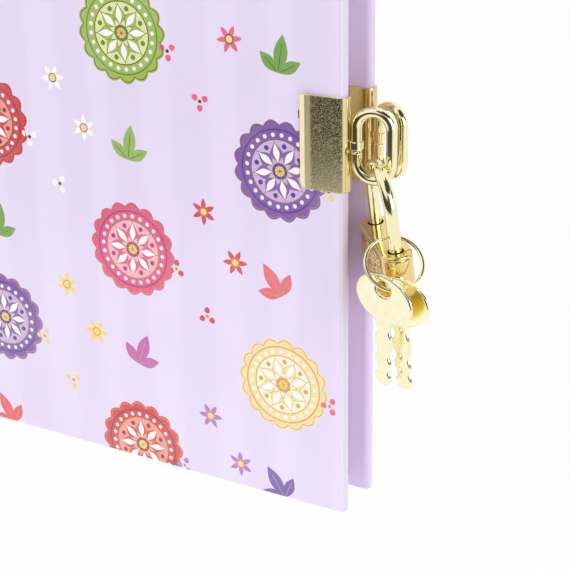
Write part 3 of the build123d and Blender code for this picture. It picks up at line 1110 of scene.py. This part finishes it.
# %% [markdown]
# The padlock's case is a straight-sided body with round ends. Its wall is a stadium outline carried up
# through a profile: a seam at the bottom plate, a groove under the cap, and a rounded rim. The broad sides
# are drawn in for the dimpled panels. The top is two grids, each from the rim to one shackle hole, and they
# meet on the middle line, so every seam closes. Holes cut by booleans would leave slivers round the mouths.

# %% Padlock case
lock_height = 13.5
lock_plate_thick = 0.8
lock_rim = 0.5
recess_depth = 0.3
recess_slope = 0.3
panel_rows = np.linspace(-10.5, -3.0, 6)
groove_level = -0.95
groove_half = 0.14
groove_depth = 0.16
seam_height = 0.12
seam_depth = 0.1
hole_radius = 1.4
hole_depth = 6.0
three_rows = np.array([-1.0, 0.0, 1.0])


def stadium_outline():
    """Points on the row between the hole centres, and the outward direction at each, once round."""
    half = shackle_spacing / 2
    border = recess_half - recess_slope * three_rows
    straight = np.unique(np.concatenate([np.linspace(-half, half, 17), border, -border]))
    turn = np.linspace(-math.pi / 2, math.pi / 2, 33)[1:-1]
    along = np.concatenate([straight, np.full(len(turn), half), straight[::-1], np.full(len(turn), -half)])
    angle = np.concatenate([np.full(len(straight), -math.pi / 2), turn, np.full(len(straight), math.pi / 2),
                            turn + math.pi])
    return np.stack([along, np.zeros(len(along))], 1), np.stack([np.cos(angle), np.sin(angle)], 1)


def ramp(value, start, end):
    """0 at start, 1 at end, straight between."""
    return np.clip((value - start) / (end - start), 0.0, 1.0)


def case_wall(row, outward):
    """Wall of the case: rows of height, each drawn in by the groove, the panel or the rim's round."""
    bottom = -lock_height + lock_plate_thick
    quarter = np.linspace(0.0, math.pi / 2, 9)
    border = recess_slope * three_rows
    heights = np.concatenate([[bottom, bottom + seam_height], recess_low + border, panel_rows,
                              recess_top + border, groove_level + groove_half * three_rows,
                              -lock_rim + lock_rim * np.sin(quarter)])
    rim = np.concatenate([np.zeros(len(heights) - len(quarter)), lock_rim * (1.0 - np.cos(quarter))])
    groove = groove_depth * ramp(np.abs(heights - groove_level), groove_half, 0.0)
    seam = np.where(heights == bottom, seam_depth, 0.0)
    broad_side = np.abs(outward[:, 1]) > 0.999
    wide = ramp(np.abs(row[:, 0]), recess_half + recess_slope, recess_half) * broad_side
    tall = ramp(heights, recess_low - recess_slope, recess_low)
    tall = tall * ramp(heights, recess_top + recess_slope, recess_top)
    inset = (rim + groove + seam)[:, None] + recess_depth * tall[:, None] * wide
    flat = row + outward * (lock_thick / 2 - inset)[..., None]
    return np.concatenate([flat, np.broadcast_to(heights[:, None, None], (*inset.shape, 1))], axis=2)


def case_top(rim, side):
    """Half of the top: from the rim and the middle line in to the mouth of a shackle hole and down it."""
    edge = rim[rim[:, 0] * side >= -1e-6, :2]
    reach = np.abs(edge[:, 1]).max()
    order = np.argsort(np.arctan2(edge[:, 1], edge[:, 0] * side))
    middle = np.linspace(reach, -reach, 15)[1:-1]
    loop = np.concatenate([edge[order], np.stack([np.zeros(len(middle)), middle], 1)])
    centre = np.array([side * shackle_spacing / 2, 0.0])
    toward = (loop - centre) / np.linalg.norm(loop - centre, axis=1)[:, None]
    mouth = centre + hole_mouth * toward
    rings = [(loop + (mouth - loop) * share, 0.0) for share in (0.0, 0.5, 0.9, 1.0)]
    rings += [(centre + radius * toward, level) for radius, level in (
        (hole_radius, hole_radius - hole_mouth), (hole_radius, -hole_depth), (0.0, -hole_depth))]
    return np.stack([np.concatenate([ring, np.full((len(loop), 1), level)], 1) for ring, level in rings])


def padlock_case():
    """Wall, floor and both halves of the top; the floor runs from the wall in to the middle row."""
    row, outward = stadium_outline()
    wall = case_wall(row, outward)
    floor = np.stack([wall[0], np.concatenate([row, np.full((len(row), 1), wall[0, 0, 2])], 1)])
    tops = [case_top(wall[-1], side) for side in (-1, 1)]
    return [to_world(grid, lock_origin, lock_row, lock_side, lock_up) for grid in (wall, floor, *tops)]


metal_piece("padlock_case", padlock_case(), lock_brass, "padlock_body", "lock_case",
            round_columns=True)

# %% [markdown]
# The key ring is thin wire bent to a circle, with its ends almost meeting. A torus would be closed, so this
# is a bar of the shackle's kind, along a path with one long bend. Two joints give its top and lowest point.

# %% Key ring
key_ring_wire = 0.8
key_ring_sides = 24
key_ring_bevel = 0.06
key_ring_gap = math.radians(1.5)
key_ring_start = math.radians(-35.0)
ring_top = hinge_point("key_ring_swing")
ring_across = -hinge_axis("key_ring_swing")
ring_centre = (ring_top + hinge_point("key_2_swing")) / 2
ring_radius = np.linalg.norm(ring_top - ring_centre)
ring_up = (ring_top - ring_centre) / ring_radius


def key_ring():
    """A circle of thin wire with its ends almost meeting."""
    sweep = tau - key_ring_gap
    start = (ring_radius * math.cos(key_ring_start), ring_radius * math.sin(key_ring_start))
    bend = [(ring_radius * sweep, sweep)]
    path, headings = bent_path(start, key_ring_start + math.pi / 2, bend, 0.2)
    return round_bar(path, headings, key_ring_wire / 2, key_ring_sides, key_ring_bevel)


loop = to_world(key_ring(), ring_centre, ring_across, ring_up, np.cross(ring_across, ring_up))
metal_piece("key_ring_wire", [loop], wire_brass, "key_ring_loop", "key_ring",
            round_columns=True)

# %% [markdown]
# A key is stamped from flat sheet. Its outline is a width that changes with height: an ellipse for the
# head, then a blade with round notches in both edges and a rounded tip. The hole is a second, smaller width.
# So each half of the key is a grid between the two, front and back, and the halves meet on the middle line.
# An outline with thickness would be sharp. Tumbling has rounded the real one, and that round edge is what
# draws the dark line along a polished key.

# %% Keys
key_sheet = 0.8
head_half = (8.0, 5.1)
head_drop = 2.2
hole_half = (2.2, 1.6)
blade_half = 2.4
blade_taper = 0.25
blade_length = 14.0
blade_sink = 0.5
tip_radius = 1.5
notch_depth = 0.7
notch_radius = 1.6
key_notches = {-1: [2.3, 6.8, 10.6], 1: [1.9, 7.6, 10.7]}
key_turns = {"key_1": (20.0, 0.0), "key_2": (16.0, 6.0)}


def ellipse(offset, half):
    """Half height of an ellipse of half width 1 at an offset: the square root of 1 - (offset / half)^2."""
    return np.sqrt(np.clip(1.0 - (offset / half) ** 2, 0.0, None))


def key_widths(side):
    """Heights along the key, and at each the half width of the hole and of the outline."""
    blade_top = -head_drop - head_half[1] + blade_sink
    tip = blade_top - blade_length
    tip_start = tip + tip_radius
    quarter = np.linspace(0.0, math.pi / 2, 16)
    levels = np.unique(np.round(np.concatenate([
        -head_drop + head_half[1] * np.cos(np.linspace(0.0, math.pi, 91)),
        hole_half[1] * np.cos(np.linspace(0.0, math.pi, 41)),
        np.linspace(blade_top, tip_start, 110), tip + tip_radius * (1.0 - np.sin(quarter))]), 4))
    head = head_half[0] * ellipse(levels + head_drop, head_half[1])
    straight = blade_half - blade_taper * (blade_top - levels) / blade_length
    blade = straight
    for place in key_notches[side]:
        bite = notch_radius * ellipse(levels - (blade_top - place), notch_radius)
        notched = straight - notch_depth + notch_radius - bite
        blade = np.minimum(blade, np.where(bite > 0, notched, straight))
    rounding = tip_radius * (1.0 - ellipse(np.clip(tip_start - levels, 0.0, tip_radius), tip_radius))
    blade = np.where(levels <= blade_top, blade - rounding, 0.0)
    return levels, hole_half[0] * ellipse(levels, hole_half[1]), np.maximum(head, blade)


def key_half(side):
    """Front and back of one half of the key, from the hole or middle line out to the edge. Both are as far
    from the middle plane as a circle of half the sheet's gauge, at the distance from the nearest edge."""
    levels, inner, outer = key_widths(side)
    share = 0.5 - 0.5 * np.cos(np.linspace(0.0, math.pi, 21))
    across = inner[:, None] + (outer - inner)[:, None] * share
    spots = np.stack([across, np.broadcast_to(levels[:, None], across.shape)], axis=2)
    hole_ends = [[0.0, hole_half[1]], [0.0, -hole_half[1]]]
    rim = np.concatenate([spots[:, -1], spots[inner > 0, 0], spots[0], hole_ends])
    reach = np.linalg.norm(spots[:, :, None, :] - rim, axis=3).min(axis=2)
    half = key_sheet / 2
    height = np.sqrt(half ** 2 - (half - np.minimum(reach, half)) ** 2)
    return [np.stack([side * across, spots[:, :, 1], face * height], axis=2) for face in (1.0, -1.0)]


for key, (heading, swing) in key_turns.items():
    turn = math.radians(heading)
    lean = math.radians(swing)
    level = np.array([math.cos(turn), -math.sin(turn), 0.0])
    across = level * math.cos(lean) + up * math.sin(lean)
    rise = up * math.cos(lean) - level * math.sin(lean)
    faces = [to_world(face, hinge_point(f"{key}_swing"), across, rise, np.cross(across, rise))
             for side in (-1, 1) for face in key_half(side)]
    metal_piece(f"{key}_stamping", faces, key_brass, f"{key}_blank", key)

# %% [markdown]
# The light is a white room. The world is plain white where the camera and mirrors look, and a soft even
# fill elsewhere. The diary stands on a white table that glows a little near it, as a lit table does, so
# that the boards are bright down to their feet. More lamps could do that, but with shadows of their own.

# %% Room and table
room_fill = 0.50
pure_white = (1.0, 1.0, 1.0, 1.0)
seen_rays = ("Is Camera Ray", "Is Glossy Ray", "Is Transmission Ray")
table_grey = (0.9, 0.9, 0.9, 1.0)
table_half = 2500.0
table_white = 0.97
table_light = 0.9
table_glow = (330.0, 60.0)
studio_middle = 60.0


def path_switch(tree, *rays):
    """1 for the kinds of ray that are named, 0 for the rest."""
    path = Field(tree).node("ShaderNodeLightPath").socket.node.outputs
    return any_of([Field(tree, path[ray]) for ray in rays])


def white_room():
    """World: white for camera, mirror and glass rays, and a plain fill for the light on matt surfaces."""
    world = bpy.data.worlds.new("white_room")
    world.use_nodes = True
    tree = world.node_tree
    background = tree.nodes["Background"]
    strength = path_switch(tree, *seen_rays) * (1.0 - room_fill) + room_fill
    tree.links.new(strength.socket, background.inputs["Strength"])
    background.inputs["Color"].default_value = pure_white
    bpy.context.scene.world = world


def bearing(finish):
    """Distance on the table from the hasps, and bearing from straight ahead (-Y), right of it positive."""
    x, y = finish.axes()[:2]
    aside = x - studio_middle
    return length(aside, y), aside.math("ARCTAN2", -1 * y) * (180 / math.pi)


def stage_card(name, grid, material):
    """A piece of the studio, made of one grid."""
    card = grid_object(name, [grid], material)
    return card


def white_table():
    """A white table lit from below: the camera and mirrors see mostly its own white, with some of the real
    shadow, and near the diary it gives light to the boards too."""
    finish = Finish("floor_white", base_color=table_grey, roughness=0.9)
    tree = finish.tree
    glow = Field(tree).node("ShaderNodeEmission", {}, {"Color": pure_white})
    shader = Field(tree, finish.shader.outputs[0])
    reach = bearing(finish)[0]
    lit = path_switch(tree, "Is Diffuse Ray") * reach.fade(*table_glow) * table_light
    share = path_switch(tree, *seen_rays) * table_white + lit
    both = shader.node("ShaderNodeMixShader", {}, {0: share, 1: shader, 2: glow})
    tree.links.new(both.socket, tree.nodes["Material Output"].inputs["Surface"])
    across, along = np.meshgrid([-table_half, table_half], [-table_half, table_half])
    stage_card("floor", np.stack([across, along, 0 * across], axis=2), finish.material)


white_room()
white_table()
print("white room and table set")

# %% [markdown]
# Bright metal in an all-white room looks flat. A photographer puts dark cards where only reflections see
# them, and so does this cell. The table is dark further out, the room behind the camera is unlit, and a dark
# wall and ceiling stand to the right. Each card is a strip round the diary, and its paint fades to white at
# the rim, so that no reflection ends in a hard line. A picture wrapped round the scene could do the same,
# but a card is easier to move and to dim.

# %% Dark cards
card_dark = (0.045, 0.04, 0.022)
card_strength = 0.97
table_strength = 0.98
card_far = 900.0
wall_far = 890.0
room_height = 620.0
ceiling_near = 260.0
ceiling_height = 920.0
fan_columns = 33
hidden_rays = ("camera", "diffuse", "shadow", "transmission")


def mirror_card(name, grid, shade):
    """A card that only mirror rays meet: white at its rim, and as dark as shade says inside."""
    finish = Finish(name + "_paint")
    tree = finish.tree
    glow = shade(finish).mix(pure_white, paint(card_dark))
    light = glow.node("ShaderNodeEmission", {}, {"Color": glow})
    tree.links.new(light.socket, tree.nodes["Material Output"].inputs["Surface"])
    card = stage_card(name, grid, finish.material)
    for ray in hidden_rays:
        setattr(card, f"visible_{ray}", False)


def sector(angle, left, right):
    """1 between two bearings, each given with its soft border from white to dark."""
    return angle.fade(*left) * angle.fade(*right)


def table_shade(finish):
    """White paper near the diary, dark further out, in front and to the left."""
    reach, angle = bearing(finish)
    return reach.fade(140, 250) * sector(angle, (-80, -56), (58, 26)) * table_strength


def room_shade(finish):
    """The unlit room: a low dark band above the floor, and a tall dark place where the camera stands."""
    angle = bearing(finish)[1]
    z = finish.axes()[2]
    band = sector(angle, (-80, -58), (62, 40)) * z.fade(330, 180)
    stand = sector(angle, (4, 14), (48, 38)) * z.fade(room_height, 0.8 * room_height)
    return any_of([band, stand]) * card_strength


def ceiling_shade(finish):
    """The dark ceiling to the right."""
    z = finish.axes()[2]
    return sector(bearing(finish)[1], (-6, 12), (136, 118)) * z.fade(640, 690) * card_strength


def wall_shade(finish):
    """The dark wall to the right, above the side lamp and under a bright window."""
    angle = bearing(finish)[1]
    z = finish.axes()[2]
    window = z.fade(470, 500) * angle.fade(96, 84)
    return sector(angle, (46, 58), (136, 118)) * z.fade(300, 360) * (1 - window) * card_strength


def fan(angles, reaches, heights):
    """Grid on bearings round the middle: each row has one distance and one height."""
    turn = np.radians(np.linspace(*angles, fan_columns))
    reach = np.array(reaches, float)[:, None]
    height = np.array(heights, float)[:, None]
    across = studio_middle + reach * np.sin(turn)
    return np.stack([across, -reach * np.cos(turn), height + 0 * turn], axis=2)


mirror_card("floor_card", fan((-92, 62), (130, 300, card_far), (1, 1, 1)), table_shade)
mirror_card("room_card", fan((-86, 64), (card_far, card_far), (1, room_height)), room_shade)
mirror_card("ceiling_card", fan((-10, 140), (card_far, ceiling_near), (room_height, ceiling_height)),
            ceiling_shade)
mirror_card("wall_card", fan((44, 140), (wall_far, wall_far), (290, room_height)), wall_shade)
print("dark cards stand", card_far, "mm away")

# %% [markdown]
# Two broad lamps give the boards their shape: one from the front left for the cover, and one from the right
# for the fore-edge and the hardware. A sun would give hard shadows, and a small lamp a hot spot on the
# film. Only the right one shows in the metal, as a bright pane. The other is hidden from mirrors.

# %% Lamps
lamps = {
    "key_lamp": dict(place=(-460, -560, 300), aim=(10, 0, 40), size=480, power=2.7, mirrored=False),
    "side_lamp": dict(place=(720, -220, 260), aim=(60, 0, 50), size=420, power=1.8, mirrored=True)}


def soft_lamp(name, place, aim, size, power, mirrored):
    """A square lamp turned to face a point: its -Z axis lies along the line to it."""
    lamp = bpy.data.objects.new(name, bpy.data.lights.new(name, "AREA"))
    lamp.data.shape = "SQUARE"
    lamp.data.size = size * MM
    lamp.data.energy = power
    bpy.context.collection.objects.link(lamp)
    back = np.array(place, float) - np.array(aim, float)
    back /= np.linalg.norm(back)
    side = np.cross(up, back)
    side /= np.linalg.norm(side)
    lamp.matrix_world = standing((side, np.cross(back, side), back), place)
    lamp.visible_camera = False
    lamp.visible_glossy = mirrored


for name, lamp in lamps.items():
    soft_lamp(name, **lamp)
bpy.context.scene.cycles.glossy_bounces = 12
bpy.context.scene.cycles.max_bounces = 16
print("lamps:", *lamps)
